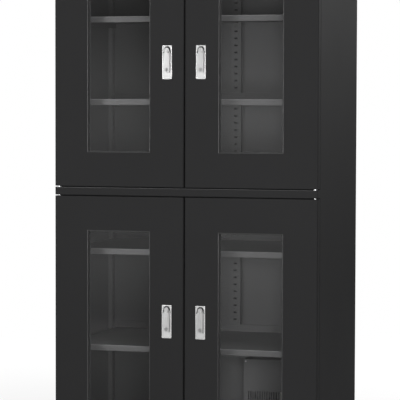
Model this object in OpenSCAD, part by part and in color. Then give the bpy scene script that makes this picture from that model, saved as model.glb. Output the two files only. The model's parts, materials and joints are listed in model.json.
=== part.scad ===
// Four-door electronic dry cabinet.
// The frame's origin is on the floor under the middle of the cabinet: X runs across the doors,
// Y from the doors to the rear wall, Z up.

/* [Cabinet] */
// Width over the side panels
cab_w = 900; // [760:10:1200]
// Depth from the door faces to the back of the rear panel
cab_depth = 600; // [480:10:760]
// Thickness of the body and door sheet
sheet_t = 1.5; // [1:0.1:2]
// Height of the base band under the lower doors
base_h = 26; // [24:1:60]
// Height of the cross band between the doors
band_h = 26; // [24:1:60]
// Height of the header panel over the upper doors
header_h = 96; // [90:2:160]
// Height of the flanges that the doors close on
flange_h = 40; // [34:1:60]
// Width of the side panels' front flanges
flange_w = 38; // [34:1:50]
// Depth of the stiffening lips behind the front flanges
lip_d = 16; // [10:1:24]

/* [Doors] */
// Height of each door
door_h = 820; // [700:10:900]
// Thickness of each door
door_t = 28; // [26:1:36]
// Gap round each door
door_gap = 3.5; // [3:0.1:5]
// Radius of the upright edges of the doors and bands
edge_r = 6; // [3:0.5:8]
// Width of each window
win_w = 214; // [120:2:280]
// Height of each window
win_h = 590; // [400:10:640]
// Thickness of each glass pane
glass_t = 3.2; // [3:0.1:5]
// Depth of the fold round each window
fold_d = 8; // [6:0.5:9]
// Thickness of the closed magnetic seal
seal_t = 6; // [5:0.5:8]
// Width of the magnetic seal
seal_w = 12; // [8:1:14]

/* [Hinges] */
// Diameter of the hinge pins
pin_d = 8; // [6:0.5:9]
// Distance of a hinge pin from the door's outer edge
pin_inset = 12; // [11:0.5:13]

/* [Locks] */
// Width of the lock plate
plate_w = 33; // [30:1:40]
// Height of the lock plate
plate_h = 110; // [104:1:130]
// Distance from the lock's middle to the door's free edge
lock_inset = 56; // [52:1:60]
// Width of the lever
lever_w = 18.5; // [17:0.5:20]
// Thickness of the lever
lever_t = 5; // [4.8:0.1:7]
// Diameter of the lever's round head
head_d = 16; // [14:0.5:17]
// Diameter of the key cylinder
key_d = 13; // [10:0.5:14]
// Diameter of the lock spindle
spindle_d = 9; // [7:0.5:10]
// Reach of the cam from the spindle's axis
cam_reach = 34; // [31:0.5:38]

/* [Shelves] */
// Slots from the lowest one up to each shelf
shelf_slots = [10, 23, 33, 43, 54];
// Pitch of the slots in the uprights
slot_pitch = 25; // [20:1:25]
// Height of the lowest slot over the floor
slot_start = 45; // [40:1:60]
// Height of a shelf's front and side lips
lip_h = 20; // [16:1:26]
// Height of a shelf's rear upstand
upstand_h = 25; // [15:1:30]
// Distance of the shelves' front edge behind the body's front plane
shelf_back = 28; // [24:1:60]
// Width of the rear centre upright
centre_w = 38; // [30:1:50]
// Offset of the centre upright from the cabinet's middle
centre_x = 17; // [-40:1:40]

/* [Drying unit] */
// Width of the drying unit's housing
dryer_w = 300; // [240:10:340]
// Depth of the housing
dryer_d = 94; // [80:2:120]
// Height of the housing
dryer_h = 232; // [200:4:280]
// Distance from the cabinet's middle to the housing
dryer_x = 70; // [40:2:80]
// Number of slots in the grille
grille_count = 20; // [8:1:20]
// Side of the fan's square frame
fan_w = 60; // [40:2:70]

/* [Controls] */
// Width of the display window
display_w = 150; // [100:2:200]
// Height of the display window
display_h = 46; // [30:1:50]
// Diameter of the set buttons
button_d = 12; // [8:0.5:14]
// Travel of the set buttons
button_travel = 1.5; // [1:0.1:2]

/* [Casters] */
// Height of the casters under the base
caster_h = 88; // [84:1:110]
// Diameter of the wheels
wheel_d = 65; // [50:1:66]
// Width of the wheels
wheel_w = 25; // [20:1:30]
// Trail of the wheels behind their swivel axis
trail = 24; // [16:1:30]
// Distance of the swivel axes from the cabinet's sides, front and back
caster_inset = 72; // [66:2:90]

/* [Power inlet] */
// Width of the inlet's cut-out
inlet_w = 27; // [27:0.5:28]
// Height of the inlet's cut-out
inlet_h = 20; // [19.5:0.5:20]
// Distance of the inlet from the cabinet's middle
inlet_x = 300; // [120:10:320]

/* [Hidden] */
$fn = 48;

// Clearances and the overrun of cuts
over = 1;
run_gap = 0.05;
seat_gap = 0.3;
part_gap = 0.2;

// Lock stack in front of the door's face
plate_t = 1.6;
rim_t = 0.9;
rim_w = 3.2;
plate_r = 2.5;
key_proud = 0.3;
lever_back = plate_t + rim_t + seat_gap;
lock_proud = lever_back + lever_t + key_proud;

// Planes
total_depth = lock_proud + cab_depth;
face_y = lock_proud - total_depth / 2;
body_y = face_y + door_t + seal_t;
back_y = face_y + cab_depth;
half_w = cab_w / 2;
inner_w = half_w - sheet_t;
floor_z = caster_h + base_h;
lower_z = floor_z + door_gap;
band_z = lower_z + door_h + door_gap;
upper_z = band_z + band_h + door_gap;
header_z = upper_z + door_h + door_gap;
cab_h = header_z + header_h;
roof_z = cab_h - sheet_t;

// Doors
door_w = (cab_w - door_gap) / 2;
win_x = door_w / 2;
win_z = door_h / 2;
gasket_lip = 1.2;
gasket_show = 3;
gasket_wrap = 2;
glass_bite = 8;
glass_y = fold_d + gasket_lip;
collar_y = glass_y + glass_t + gasket_lip;
seal_inset = 14;
pin_y = door_t / 2;
boss_l = 16;
boss_w = pin_d + boss_l / 2;
pin_reach = 14;
pin_root = 10;
collar_d = pin_d + 5;

// Locks
lock_x = door_w - lock_inset;
lock_z = door_h / 2;
head_drop = 15.5;
pivot_z = plate_h / 2 - head_drop;
groove_in = head_d / 2 + 0.9;
groove_w = 2.4;
groove_leg = 10.5;
groove_splay = 14;
groove_depth = 5;
well_w = 24;
well_h = 96;
well_d = 12;
boss_d = spindle_d + 7;
boss_end = 1;
tongue_w = 7;
tongue_r = 2.3;
lever_pin_d = 2.5;
lever_top = head_d / 2 + 1;
lever_end = 73.5;
lever_r = 5;
key_drop = 64;
keyway_w = 1.8;
keyway_h = 7;
keyway_d = 3;
slot_top = 4;
cam_w = 12;
cam_t = 3;
cam_gap = 1;
cam_y = door_t + seal_t + sheet_t + cam_gap;
nut_d = 13;
nut_t = 4;

// Body
mullion_w = 70;
mullion_d = 20;
latch_down = cam_w / 2 + 2;
latch_up = cam_reach - 4;
rear_flange_w = 15;
roof_lip = 15;
exhaust_count = 8;
exhaust_w = 60;
exhaust_h = 5;
exhaust_pitch = 12;
exhaust_up = 150;

// Shelves and uprights
upright_t = 15;
upright_d = 30;
upright_back = lip_d + 2;
slot_h = 12;
slot_w = 4;
slot_margin = 20;
centre_t = 18;
centre_z = 286;
centre_slot_h = 6;
centre_slot_w = 12;
shelf_gap = 1.5;
shelf_half = inner_w - upright_t - shelf_gap;
shelf_y = body_y + shelf_back;
shelf_end = back_y - sheet_t - centre_t - 3.5;
hem_d = 15;
clip_t = 2.5;
clip_w = 16;
clip_l = 18.5;
clip_leg = 18;
clip_seat = 6;
hook_w = 3;
hook_gap = 1;
hook_l = 3;
slot_count = floor((header_z - floor_z - slot_start - slot_margin) / slot_pitch);

// Drying unit
grille_x = 16;
grille_pitch = 8.4;
grille_w = 3.6;
grille_h = 30;
grille_z = 90;
fan_x = 70;
fan_z = grille_z + grille_h / 2;
fan_d = fan_w - 4;
fan_t = 20;
hub_d = 18;
hub_t = 12;
fan_shaft_d = 4;
spoke_w = 4;
spoke_t = 3;
blade_count = 7;
blade_t = 1.2;
blade_chord = 14;
blade_tilt = 35;
blade_gap = 1.5;
cartridge_x = 130;
cartridge_margin = 50;
cartridge_w = dryer_w - cartridge_x - cartridge_margin;
cartridge_d = 60;
cartridge_h = 180;
cartridge_r = 8;

// Controls
display_z = header_h / 2;
lens_t = 2;
lens_lip = 3;
board_margin = 14;
board_t = 1.6;
led_t = 10;
board_gap = 6;
button_x = display_w / 2 + 32;
button_pitch = 28;
button_proud = 2;
button_lip = 1.8;
button_lip_t = 1.5;
stud_d = 5;

// Casters
stem_d = 11;
stem_l = 20;
socket_d = 28;
crown_d = 46;
crown_t = 5;
cup_d = 34;
cheek_t = 3;
cheek_gap = 2;
cheek_r = 9;
axle_d = 8;
axle_head_d = 13;
axle_head_t = 2;
tyre_r = 5;
wheel_z = wheel_d / 2;
crown_z = wheel_d + 5;
pedal_w = 22;
pedal_t = 2.5;
pedal_reach = 24;
pedal_drop = 16;

// Inlet
inlet_margin = 11;
inlet_z = 46;
inlet_depth = 20;
inlet_flange_t = 2.5;
inlet_wall = 2;
pin_blade_w = 4;
pin_blade_t = 2;
pin_blade_l = 12;
pin_blade_gap = 7;

sheet_colour = [0.15, 0.15, 0.155];
inner_colour = [0.22, 0.22, 0.225];
shelf_colour = [0.3, 0.3, 0.305];
silver = [0.8, 0.8, 0.8];
rubber_colour = [0.08, 0.08, 0.08];

// A block between two corners
module block(lo, hi) {
    translate(lo) cube(hi - lo);
}

// A plan outline with its two front corners rounded
module round_plan(w, d, r) {
    translate([r, 0]) square([w - 2 * r, d]);
    translate([0, r]) square([w, d - r]);
    translate([r, r]) circle(r);
    translate([w - r, r]) circle(r);
}

// A folded box, open at the back, with rounded upright front edges
module folded_box(w, d, h) {
    difference() {
        linear_extrude(h) round_plan(w, d, edge_r);
        translate([sheet_t, sheet_t, sheet_t])
            linear_extrude(h - 2 * sheet_t)
                round_plan(w - 2 * sheet_t, d, edge_r - sheet_t);
    }
}

// An upright frame round a window, between two depths
module window_frame(y0, y1, inner_w, inner_h, outer_w, outer_h) {
    difference() {
        block([win_x - outer_w / 2, y0, win_z - outer_h / 2],
            [win_x + outer_w / 2, y1, win_z + outer_h / 2]);
        block([win_x - inner_w / 2, y0 - over, win_z - inner_h / 2],
            [win_x + inner_w / 2, y1 + over, win_z + inner_h / 2]);
    }
}

// A cylinder along Y between two depths
module y_rod(d, y0, y1) {
    translate([0, y0, 0]) rotate([-90, 0, 0]) cylinder(d = d, h = y1 - y0);
}

// A cylinder along X between two places
module x_rod(d, x0, x1) {
    translate([x0, 0, 0]) rotate([0, 90, 0]) cylinder(d = d, h = x1 - x0);
}

// Puts a left-hand door's pieces in place, or mirrors them to the right
module at_door(side, z) {
    if (side > 0) translate([half_w, face_y, z]) mirror([1, 0, 0]) children();
    else translate([-half_w, face_y, z]) children();
}

// Mirrors a left-hand piece for the other side
module on_side(side) {
    if (side > 0) mirror([1, 0, 0]) children();
    else children();
}

// One side panel with its front flange, lip and rear flange
module side_panel() {
    block([-half_w, body_y, caster_h], [-inner_w, back_y - sheet_t, roof_z]);
    block([-half_w, body_y, caster_h], [-half_w + flange_w, body_y + sheet_t, roof_z]);
    block([-half_w + flange_w - sheet_t, body_y, caster_h],
        [-half_w + flange_w, body_y + lip_d, roof_z]);
    block([-half_w, back_y - 2 * sheet_t, caster_h],
        [-half_w + rear_flange_w, back_y - sheet_t, roof_z]);
}

module left_side_panel() {
    color(sheet_colour) side_panel();
}

module right_side_panel() {
    color(sheet_colour) mirror([1, 0, 0]) side_panel();
}

// Rear sheet with the inlet's cut-out and the drying unit's exhaust slots
module rear_panel() {
    color(sheet_colour) difference() {
        block([-half_w, back_y - sheet_t, caster_h], [half_w, back_y, roof_z]);
        block([inlet_x - inlet_w / 2, back_y - sheet_t - over, floor_z + inlet_z - inlet_h / 2],
            [inlet_x + inlet_w / 2, back_y + over, floor_z + inlet_z + inlet_h / 2]);
        for (i = [0 : exhaust_count - 1])
            translate([dryer_x + fan_x, 0, floor_z + exhaust_up - i * exhaust_pitch])
                block([-exhaust_w / 2, back_y - sheet_t - over, -exhaust_h / 2],
                    [exhaust_w / 2, back_y + over, exhaust_h / 2]);
    }
}

// Roof sheet with its side lips
module roof_panel() {
    color(sheet_colour) {
        block([-half_w, body_y, roof_z], [half_w, back_y, cab_h]);
        for (side = [-1, 1]) on_side(side)
            block([-inner_w, body_y + lip_d, roof_z - roof_lip],
                [-inner_w + sheet_t, back_y - 2 * sheet_t, roof_z]);
    }
}

// A level sheet across the body, notched round the side panels' flanges
module deck(z) {
    block([-half_w + flange_w, body_y - over, z],
        [half_w - flange_w, back_y - sheet_t, z + sheet_t]);
    block([-inner_w, body_y + lip_d, z], [inner_w, back_y - 2 * sheet_t, z + sheet_t]);
}

// A flange between the side panels that the doors close on
module cross_flange(z0, z1) {
    block([-half_w + flange_w, body_y, z0], [half_w - flange_w, body_y + sheet_t, z1]);
}

// Holes for the left and right hinge pins through a band
module pin_holes(z0, z1) {
    for (side = [-1, 1])
        translate([side * (half_w - pin_inset), face_y + pin_y, z0])
            cylinder(d = pin_d + 2 * run_gap, h = z1 - z0);
}

// Places of the four caster stems, with the front wheels trailing forwards
module at_casters(along, across) {
    translate([across * (half_w - caster_inset), along > 0 ? back_y - caster_inset : body_y
        + caster_inset, 0]) rotate([0, 0, along > 0 ? 0 : 180]) children();
}

// Floor sheet, front band, upturned flange and caster sockets
module base_pan() {
    color(sheet_colour) difference() {
        union() {
            translate([-half_w, face_y, caster_h]) folded_box(cab_w, door_t + seal_t, base_h);
            deck(floor_z - sheet_t);
            cross_flange(floor_z - sheet_t, floor_z + flange_h);
            for (side = [-1, 1]) on_side(side)
                block([-inner_w, body_y + lip_d, caster_h],
                    [-inner_w + sheet_t, back_y - 2 * sheet_t, floor_z]);
            for (along = [-1, 1], across = [-1, 1]) at_casters(along, across)
                translate([0, 0, caster_h]) cylinder(d = socket_d, h = base_h - sheet_t);
        }
        for (along = [-1, 1], across = [-1, 1]) at_casters(along, across)
            translate([0, 0, caster_h - over])
                cylinder(d = stem_d + 2 * run_gap, h = stem_l + over);
        pin_holes(floor_z - sheet_t - over, floor_z + over);
    }
}

// Two posts that the free edges of the doors close on, slotted for the cams
module centre_mullion() {
    color(inner_colour) difference() {
        for (span = [[floor_z + flange_h, band_z - flange_h],
                     [band_z + band_h + flange_h, header_z - flange_h]]) {
            block([-mullion_w / 2, body_y, span[0]], [mullion_w / 2, body_y + sheet_t, span[1]]);
            for (side = [-1, 1]) on_side(side)
                block([-mullion_w / 2, body_y, span[0]],
                    [-mullion_w / 2 + sheet_t, body_y + mullion_d, span[1]]);
        }
        for (z = [lower_z, upper_z])
            block([-mullion_w / 2 - over, body_y + sheet_t, z + lock_z + pivot_z - latch_down],
                [mullion_w / 2 + over, body_y + mullion_d + over,
                    z + lock_z + pivot_z + latch_up]);
    }
}

// Cross band between the upper and lower doors with its flange
module mid_rail() {
    color(sheet_colour) difference() {
        union() {
            translate([-half_w, face_y, band_z]) folded_box(cab_w, door_t + seal_t, band_h);
            cross_flange(band_z - flange_h, band_z + band_h + flange_h);
        }
        pin_holes(band_z - over, band_z + sheet_t + over);
        pin_holes(band_z + band_h - sheet_t - over, band_z + band_h + over);
    }
}

// Header box with the display and button cut-outs, the ceiling and its downturned flange
module header_panel() {
    color(sheet_colour) difference() {
        union() {
            translate([-half_w, face_y, header_z]) folded_box(cab_w, door_t + seal_t, header_h);
            deck(header_z);
            cross_flange(header_z - flange_h, header_z + sheet_t);
        }
        pin_holes(header_z - over, header_z + sheet_t + over);
        block([-display_w / 2, face_y - over, header_z + display_z - display_h / 2],
            [display_w / 2, face_y + sheet_t + over, header_z + display_z + display_h / 2]);
        for (i = [0, 1])
            translate([button_x + i * button_pitch, face_y, header_z + display_z])
                y_rod(button_d + 2 * part_gap, -over, sheet_t + over);
    }
}

// Smoked lens in the display's cut-out, held by a lip behind the sheet
module display_window() {
    color([0.1, 0.1, 0.12]) translate([0, face_y, header_z + display_z]) {
        block([-display_w / 2, 0, -display_h / 2], [display_w / 2, lens_t, display_h / 2]);
        block([-display_w / 2 - lens_lip, sheet_t, -display_h / 2 - lens_lip],
            [display_w / 2 + lens_lip, lens_t + sheet_t, display_h / 2 + lens_lip]);
    }
}

// Display block behind the lens, and its circuit board on four posts
module display_module() {
    led_y = lens_t + sheet_t;
    board_y = led_y + led_t;
    board_w = button_x + button_pitch + board_margin;
    board_h = display_h + board_margin;
    color([0.1, 0.3, 0.15]) translate([0, face_y, header_z + display_z]) {
        block([-display_w / 2, led_y, -display_h / 2], [display_w / 2, board_y, display_h / 2]);
        block([-board_w, board_y, -board_h / 2], [board_w, board_y + board_t, board_h / 2]);
        for (x = [-1, 1], z = [-1, 1])
            translate([x * (board_w - stud_d), 0, z * (board_h / 2 - stud_d)])
                y_rod(stud_d, sheet_t, board_y + board_t);
    }
}

// A set button with a lip behind the header's sheet
module set_button(i) {
    color(silver)
        translate([button_x + i * button_pitch, face_y, header_z + display_z]) {
            y_rod(button_d, -button_proud, sheet_t + run_gap + button_lip_t);
            y_rod(button_d + 2 * button_lip, sheet_t + run_gap, sheet_t + run_gap + button_lip_t);
            y_rod(stud_d, sheet_t, lens_t + sheet_t + led_t - button_travel - seat_gap);
        }
}

module button_up() {
    set_button(0);
}

module button_down() {
    set_button(1);
}

// One side upright: a channel with slots towards the shelves
module side_upright(y) {
    difference() {
        block([-inner_w, y, floor_z], [-inner_w + upright_t, y + upright_d, header_z]);
        block([-inner_w - over, y + sheet_t, floor_z - over],
            [-inner_w + upright_t - sheet_t, y + upright_d - sheet_t, header_z + over]);
        for (i = [0 : slot_count])
            translate([-inner_w + upright_t, y + upright_d / 2,
                floor_z + slot_start + i * slot_pitch])
                block([-sheet_t - over, -slot_w / 2, -slot_h / 2], [over, slot_w / 2, slot_h / 2]);
    }
}

// Lowest slot of the centre upright that is above its foot, and its first height
function centre_slot_z(i) = floor_z + slot_start + clip_seat + lip_h - sheet_t - clip_seat
    + i * slot_pitch;
centre_first = ceil((centre_z + slot_margin - slot_start - lip_h) / slot_pitch);

// Channel against the rear wall, slotted in front
module centre_upright() {
    y0 = back_y - sheet_t - centre_t;
    difference() {
        block([centre_x - centre_w / 2, y0, floor_z + centre_z],
            [centre_x + centre_w / 2, back_y - sheet_t, header_z]);
        block([centre_x - centre_w / 2 + sheet_t, y0 + sheet_t, floor_z + centre_z - over],
            [centre_x + centre_w / 2 - sheet_t, back_y, header_z + over]);
        for (i = [centre_first : slot_count])
            translate([centre_x, y0, centre_slot_z(i)])
                block([-centre_slot_w / 2, -over, -centre_slot_h / 2],
                    [centre_slot_w / 2, sheet_t + over, centre_slot_h / 2]);
    }
}

front_upright_y = body_y + upright_back;
rear_upright_y = shelf_end - upright_d;

module shelf_uprights() {
    color(inner_colour) {
        for (side = [-1, 1], y = [front_upright_y, rear_upright_y]) on_side(side)
            side_upright(y);
        centre_upright();
    }
}

// Top of a shelf that hangs in a given slot
function shelf_z(slot) = floor_z + slot_start + slot * slot_pitch + clip_seat + lip_h;

// One shelf: plate, front lip with its hem, side lips and rear upstand
module shelf(z) {
    block([-shelf_half, shelf_y, z - sheet_t], [shelf_half, shelf_end, z]);
    block([-shelf_half, shelf_y, z - lip_h], [shelf_half, shelf_y + sheet_t, z]);
    block([-shelf_half, shelf_y, z - lip_h], [shelf_half, shelf_y + hem_d, z - lip_h + sheet_t]);
    for (side = [-1, 1]) on_side(side)
        block([-shelf_half, shelf_y, z - lip_h], [-shelf_half + sheet_t, shelf_end, z]);
    block([-shelf_half, shelf_end - sheet_t, z - sheet_t], [shelf_half, shelf_end, z + upstand_h]);
}

module shelves() {
    color(shelf_colour) for (slot = shelf_slots) shelf(shelf_z(slot));
}

// One clip: a tongue under the shelf, a leg down the upright and a hook in a slot of some height
module clip(height) {
    hook_h = height - 2 * hook_gap;
    block([0, -clip_w / 2, -clip_t], [clip_l, clip_w / 2, 0]);
    block([0, -clip_w / 2, -clip_leg], [sheet_t, clip_w / 2, 0]);
    block([-hook_l, -hook_w / 2, -clip_seat - hook_h / 2],
        [sheet_t, hook_w / 2, -clip_seat + hook_h / 2]);
}

module shelf_clips() {
    centre_front = back_y - sheet_t - centre_t;
    color(silver) for (slot = shelf_slots) {
        for (side = [-1, 1], y = [front_upright_y, rear_upright_y]) on_side(side)
            translate([-inner_w + upright_t, y + upright_d / 2, shelf_z(slot) - lip_h])
                clip(slot_h);
        translate([centre_x, centre_front, shelf_z(slot) - sheet_t])
            rotate([0, 0, -90]) clip(centre_slot_h);
    }
}

// Sheet box over the drying parts, with the slotted grille
module dryer_housing() {
    color(inner_colour) translate([dryer_x, back_y - sheet_t - dryer_d, floor_z]) difference() {
        cube([dryer_w, dryer_d, dryer_h]);
        block([sheet_t, sheet_t, -over], [dryer_w - sheet_t, dryer_d + over, dryer_h - sheet_t]);
        for (i = [0 : grille_count - 1])
            translate([grille_x + i * grille_pitch, 0, grille_z])
                block([0, -over, 0], [grille_w, sheet_t + over, grille_h]);
    }
}

// Puts pieces at the middle of the fan, behind the grille
module at_fan() {
    translate([dryer_x + fan_x, back_y - sheet_t - dryer_d + sheet_t, floor_z + fan_z])
        children();
}

// Fan frame with its spokes and shaft, and the desiccant cartridge beside it
module dryer_core() {
    color([0.1, 0.1, 0.1]) at_fan() {
        difference() {
            block([-fan_w / 2, 0, -fan_w / 2], [fan_w / 2, fan_t, fan_w / 2]);
            y_rod(fan_d, -over, fan_t + over);
        }
        for (turn = [0, 90]) rotate([0, turn, 0])
            block([-fan_d / 2 - over, fan_t - spoke_t, -spoke_w / 2],
                [fan_d / 2 + over, fan_t, spoke_w / 2]);
        y_rod(hub_d, fan_t - spoke_t, fan_t);
        y_rod(fan_shaft_d, spoke_t, fan_t);
    }
    color([0.85, 0.85, 0.8])
        translate([dryer_x + cartridge_x, back_y - sheet_t - dryer_d + sheet_t, floor_z])
            linear_extrude(cartridge_h) round_plan(cartridge_w, cartridge_d, cartridge_r);
}

// Fan rotor: a hub on the shaft with tilted blades
module dryer_fan() {
    blade_l = fan_d / 2 - blade_gap - hub_d / 4;
    y0 = fan_t - spoke_t - hub_t - blade_gap / 2;
    color([0.12, 0.12, 0.12]) at_fan() difference() {
        union() {
            y_rod(hub_d, y0, y0 + hub_t);
            for (i = [0 : blade_count - 1]) rotate([0, i * 360 / blade_count, 0])
                translate([hub_d / 4, y0 + hub_t / 2, 0]) rotate([blade_tilt, 0, 0])
                    block([0, -blade_t / 2, -blade_chord / 2],
                        [blade_l, blade_t / 2, blade_chord / 2]);
        }
        y_rod(fan_shaft_d + 2 * run_gap, y0 - over, y0 + hub_t + over);
    }
}

// Three-pin power inlet that lies level in the rear panel, with its flange inside
module power_inlet() {
    body_w = inlet_w - 2 * run_gap;
    body_h = inlet_h - 2 * run_gap;
    color([0.07, 0.07, 0.07]) translate([inlet_x, back_y, floor_z + inlet_z]) {
        difference() {
            union() {
                block([-inlet_w / 2 - inlet_margin, -sheet_t - inlet_flange_t,
                        -inlet_h / 2 - inlet_wall],
                    [inlet_w / 2 + inlet_margin, -sheet_t, inlet_h / 2 + inlet_wall]);
                block([-body_w / 2, -inlet_depth, -body_h / 2], [body_w / 2, 0, body_h / 2]);
            }
            block([-body_w / 2 + inlet_wall, -inlet_depth + inlet_wall, -body_h / 2 + inlet_wall],
                [body_w / 2 - inlet_wall, over, body_h / 2 - inlet_wall]);
        }
        for (i = [-1, 0, 1])
            translate([i * pin_blade_gap, -inlet_depth, i == 0 ? pin_blade_w / 2
                : -pin_blade_w / 2])
                block([-pin_blade_t / 2, 0, -pin_blade_w / 2],
                    [pin_blade_t / 2, pin_blade_l, pin_blade_w / 2]);
    }
}

// One pin between two heights, with a thrust collar where the door stands on it
module hinge_pin(z0, z1, collar_z, collar) {
    translate([pin_inset - half_w, face_y + pin_y, 0]) {
        translate([0, 0, z0]) cylinder(d = pin_d, h = z1 - z0);
        if (collar) translate([0, 0, collar_z]) cylinder(d = collar_d, h = door_gap - seat_gap);
    }
}

module hinge_pins() {
    color(silver) for (side = [-1, 1]) on_side(side) {
        hinge_pin(floor_z - pin_root, lower_z + pin_reach, floor_z, true);
        hinge_pin(lower_z + door_h - pin_reach, band_z + pin_root, band_z, false);
        hinge_pin(band_z + band_h - pin_root, upper_z + pin_reach, band_z + band_h, true);
        hinge_pin(upper_z + door_h - pin_reach, header_z + pin_root, header_z, false);
    }
}

// Door skin: folded box, window fold, lock cut-out and hinge bosses
module door_skin() {
    color(sheet_colour) difference() {
        union() {
            folded_box(door_w, door_t, door_h);
            window_frame(0, fold_d, win_w, win_h, win_w + 2 * sheet_t, win_h + 2 * sheet_t);
            for (z = [sheet_t / 2, door_h - boss_l])
                block([pin_inset - boss_w / 2, pin_y - boss_w / 2, z],
                    [pin_inset + boss_w / 2, pin_y + boss_w / 2, z + boss_l - sheet_t / 2]);
        }
        block([win_x - win_w / 2, -over, win_z - win_h / 2],
            [win_x + win_w / 2, fold_d + over, win_z + win_h / 2]);
        block([lock_x - well_w / 2 - part_gap, -over, lock_z - well_h / 2 - part_gap],
            [lock_x + well_w / 2 + part_gap, sheet_t + over, lock_z + well_h / 2 + part_gap]);
        for (z = [-over, door_h - boss_l - over])
            translate([pin_inset, pin_y, z])
                cylinder(d = pin_d + 2 * run_gap, h = boss_l + 2 * over);
    }
}

// Inner sheet of the door, with the collar behind the glass
module door_liner() {
    color(inner_colour) difference() {
        union() {
            block([sheet_t, door_t - sheet_t, sheet_t],
                [door_w - sheet_t, door_t, door_h - sheet_t]);
            window_frame(collar_y, door_t, win_w, win_h, win_w + 2 * sheet_t,
                win_h + 2 * sheet_t);
        }
        block([win_x - win_w / 2, 0, win_z - win_h / 2],
            [win_x + win_w / 2, door_t + over, win_z + win_h / 2]);
        translate([lock_x, 0, lock_z + pivot_z])
            y_rod(boss_d + 2 * part_gap, door_t - sheet_t - over, door_t + over);
    }
}

module door_glass() {
    color([0.7, 0.75, 0.75, 0.35])
        block([win_x - win_w / 2 - glass_bite, glass_y, win_z - win_h / 2 - glass_bite],
            [win_x + win_w / 2 + glass_bite, glass_y + glass_t, win_z + win_h / 2 + glass_bite]);
}

// Rubber channel round the glass, and the magnetic seal on the liner
module door_seals() {
    outer_w = win_w + 2 * (glass_bite + gasket_wrap);
    outer_h = win_h + 2 * (glass_bite + gasket_wrap);
    ring_w = door_w - 2 * seal_inset;
    ring_h = door_h - 2 * seal_inset;
    color(rubber_colour) {
        difference() {
            window_frame(fold_d, collar_y, win_w - 2 * gasket_show, win_h - 2 * gasket_show,
                outer_w, outer_h);
            block([win_x - win_w / 2 - glass_bite, glass_y, win_z - win_h / 2 - glass_bite],
                [win_x + win_w / 2 + glass_bite, glass_y + glass_t,
                    win_z + win_h / 2 + glass_bite]);
        }
        window_frame(door_t, door_t + seal_t - seat_gap, ring_w - 2 * seal_w,
            ring_h - 2 * seal_w, ring_w, ring_h);
    }
}

// Puts a lock's pieces at the spindle's axis on the door's face
module at_spindle() {
    translate([lock_x, 0, lock_z + pivot_z]) children();
}

// Lock plate with its raised rim, the arched groove round the head, the well and the boss
module lock_plate() {
    color(silver) difference() {
        union() {
            translate([lock_x, 0, lock_z]) rotate([90, 0, 0]) {
                linear_extrude(plate_t) round_plate(0);
                linear_extrude(plate_t + rim_t) difference() {
                    round_plate(0);
                    round_plate(rim_w);
                }
            }
            block([lock_x - well_w / 2, -plate_t / 2, lock_z - well_h / 2],
                [lock_x + well_w / 2, well_d, lock_z + well_h / 2]);
            at_spindle() y_rod(boss_d, well_d / 2, door_t + boss_end);
        }
        at_spindle() {
            y_rod(spindle_d + 2 * run_gap, -plate_t - over, door_t + boss_end + over);
            translate([0, groove_depth - plate_t, 0]) rotate([90, 0, 0])
                linear_extrude(groove_depth + over) arch();
        }
    }
}

// The lock plate's outline, drawn in by a margin
module round_plate(margin) {
    w = plate_w - 2 * margin;
    h = plate_h - 2 * margin;
    square([w - 2 * plate_r, h], center = true);
    square([w, h - 2 * plate_r], center = true);
    for (x = [-1, 1], z = [-1, 1])
        translate([x * (w / 2 - plate_r), z * (h / 2 - plate_r)]) circle(plate_r);
}

// Arch over the head with two legs that spread downwards
module arch() {
    difference() {
        circle(groove_in + groove_w);
        circle(groove_in);
        translate([-2 * head_d, -4 * head_d]) square([4 * head_d, 4 * head_d]);
    }
    for (side = [-1, 1])
        translate([side * (groove_in + groove_w / 2), 0])
            rotate([0, 0, side * groove_splay])
                translate([-groove_w / 2, -groove_leg]) square([groove_w, groove_leg]);
}

// Spindle with its slotted round head, the lever's pin, the cam and its nut
module lock_spindle() {
    head_front = -lever_back - lever_t;
    mid_y = -lever_back - lever_t / 2;
    color(silver) at_spindle() {
        difference() {
            y_rod(head_d, head_front, -lever_back);
            block([-tongue_w / 2 - part_gap, head_front - over, -head_d],
                [tongue_w / 2 + part_gap, -lever_back + over, slot_top]);
        }
        translate([0, mid_y, 0])
            x_rod(lever_pin_d, -head_d / 2 + sheet_t, head_d / 2 - sheet_t);
        y_rod(spindle_d, -lever_back, cam_y + cam_t);
        translate([0, 0, -cam_w / 2])
            block([-cam_w / 2, cam_y, 0], [cam_w / 2, cam_y + cam_t, cam_w / 2 + cam_reach]);
        translate([0, cam_y + cam_t, 0]) rotate([-90, 0, 0])
            cylinder(d = nut_d, h = nut_t, $fn = 6);
    }
}

// Lever with its tongue in the head's slot and the bore for the key cylinder
module lock_lever() {
    mid_y = -lever_back - lever_t / 2;
    color(silver) at_spindle() difference() {
        union() {
            translate([0, -lever_back, 0]) rotate([90, 0, 0]) linear_extrude(lever_t) {
                translate([-lever_w / 2, -lever_end + lever_r])
                    square([lever_w, lever_end - lever_r - lever_top]);
                translate([-lever_w / 2 + lever_r, -lever_end])
                    square([lever_w - 2 * lever_r, lever_r]);
                for (x = [-1, 1])
                    translate([x * (lever_w / 2 - lever_r), -lever_end + lever_r])
                        circle(lever_r);
            }
            block([-tongue_w / 2, mid_y - tongue_r, -lever_top - over],
                [tongue_w / 2, mid_y + tongue_r, 0]);
            translate([0, mid_y, 0]) x_rod(2 * tongue_r, -tongue_w / 2, tongue_w / 2);
        }
        translate([0, mid_y, 0])
            x_rod(lever_pin_d + 2 * run_gap, -tongue_w, tongue_w);
        translate([0, 0, -key_drop])
            y_rod(key_d + 2 * run_gap, -lever_back - lever_t - over, -lever_back + over);
    }
}

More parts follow.
